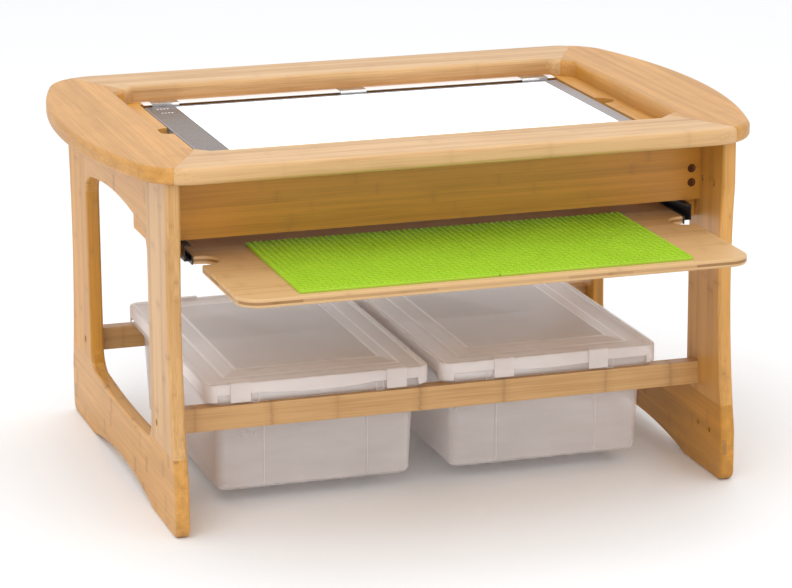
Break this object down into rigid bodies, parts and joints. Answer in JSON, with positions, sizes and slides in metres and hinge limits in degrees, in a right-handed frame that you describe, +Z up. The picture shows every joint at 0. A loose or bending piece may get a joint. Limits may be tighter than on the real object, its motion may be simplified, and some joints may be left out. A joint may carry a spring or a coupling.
{
  "type": "children's light table",
  "caption": "Low bamboo light table for children: sunk light panel, sliding shelf with stud plates, and lidded bins hung between lower rails.",
  "frame": {"origin": "on the floor, under the middle of the whole outline with the shelf pulled out", "axes": "+X along the long side, to the right as seen from the shelf side; +Y from the shelf to the back; +Z up"},
  "size_m": [0.9, 0.778, 0.48],
  "materials": {
    "bamboo_top": "satin clear lacquer",
    "bamboo_frame": "satin clear lacquer",
    "bamboo_apron": "satin clear lacquer",
    "bamboo_shelf": "satin clear lacquer",
    "slide_steel": "zinc plated",
    "runner_steel": "black",
    "bolt_bronze": "dark bronze",
    "stud_green": "satin moulded",
    "bin_clear": "frosted translucent",
    "lid_clear": "frosted translucent",
    "panel_grey": "fine matte",
    "bezel_grey": "satin",
    "control_grey": "smooth",
    "icon_white": "printed",
    "diffuser_white": "opal, lit from below",
    "guide_clear": "clear acrylic",
    "led_board": "light strip",
    "retainer_white": "fine matte",
    "clip_steel": "bright spring steel"
  },
  "bodies": {
    "table": {"top_rail_front": "bamboo_top", "top_rail_back": "bamboo_top", "top_end_left": "bamboo_top", "top_end_right": "bamboo_top", "foot_board_left": "bamboo_frame", "leg_front_left": "bamboo_frame", "leg_rear_left": "bamboo_frame", "gusset_left": "bamboo_frame", "panel_ledge_left": "bamboo_top", "slide_spacer_left": "bamboo_apron", "slide_channel_left": "slide_steel", "rail_bolts_left": "bolt_bronze", "foot_board_right": "bamboo_frame", "leg_front_right": "bamboo_frame", "leg_rear_right": "bamboo_frame", "gusset_right": "bamboo_frame", "panel_ledge_right": "bamboo_top", "slide_spacer_right": "bamboo_apron", "slide_channel_right": "slide_steel", "rail_bolts_right": "bolt_bronze", "apron_front": "bamboo_apron", "apron_back": "bamboo_apron", "apron_nuts": "bolt_bronze", "lower_rail_front": "bamboo_frame", "lower_rail_back": "bamboo_frame", "panel_cleat_front": "bamboo_apron", "panel_cleat_back": "bamboo_apron", "panel_retainer": "retainer_white", "retainer_clips": "clip_steel"},
    "shelf": {"shelf_board": "bamboo_shelf", "stud_plate_left": "stud_green", "stud_plate_right": "stud_green", "slide_runner_left": "runner_steel", "slide_runner_right": "runner_steel"},
    "light_panel": {"panel_case": "panel_grey", "panel_bezel": "bezel_grey", "control_strip": "control_grey", "touch_spots": "icon_white", "light_diffuser": "diffuser_white", "light_guide": "guide_clear", "led_strip": "led_board"},
    "bin_left": {"tub_left": "bin_clear"},
    "bin_lid_left": {"lid_left": "lid_clear", "lid_tabs_left": "lid_clear"},
    "bin_right": {"tub_right": "bin_clear"},
    "bin_lid_right": {"lid_right": "lid_clear", "lid_tabs_right": "lid_clear"}
  },
  "joints": [
    {"name": "shelf_slide", "type": "slide", "parent": "table", "child": "shelf", "axis": [0, 1, 0], "range_m": [0, 0.15]},
    {"name": "panel_lift", "type": "slide", "parent": "table", "child": "light_panel", "axis": [0, 0, 1], "range_m": [0, 0.06]},
    {"name": "left_bin_slide", "type": "slide", "parent": "table", "child": "bin_left", "axis": [1, 0, 0], "range_m": [-0.035, 0.006]},
    {"name": "left_lid_lift", "type": "slide", "parent": "bin_left", "child": "bin_lid_left", "axis": [0, 0, 1], "range_m": [0, 0.06]},
    {"name": "right_bin_slide", "type": "slide", "parent": "table", "child": "bin_right", "axis": [1, 0, 0], "range_m": [-0.006, 0.05]},
    {"name": "right_lid_lift", "type": "slide", "parent": "bin_right", "child": "bin_lid_right", "axis": [0, 0, 1], "range_m": [0, 0.06]}
  ]
}
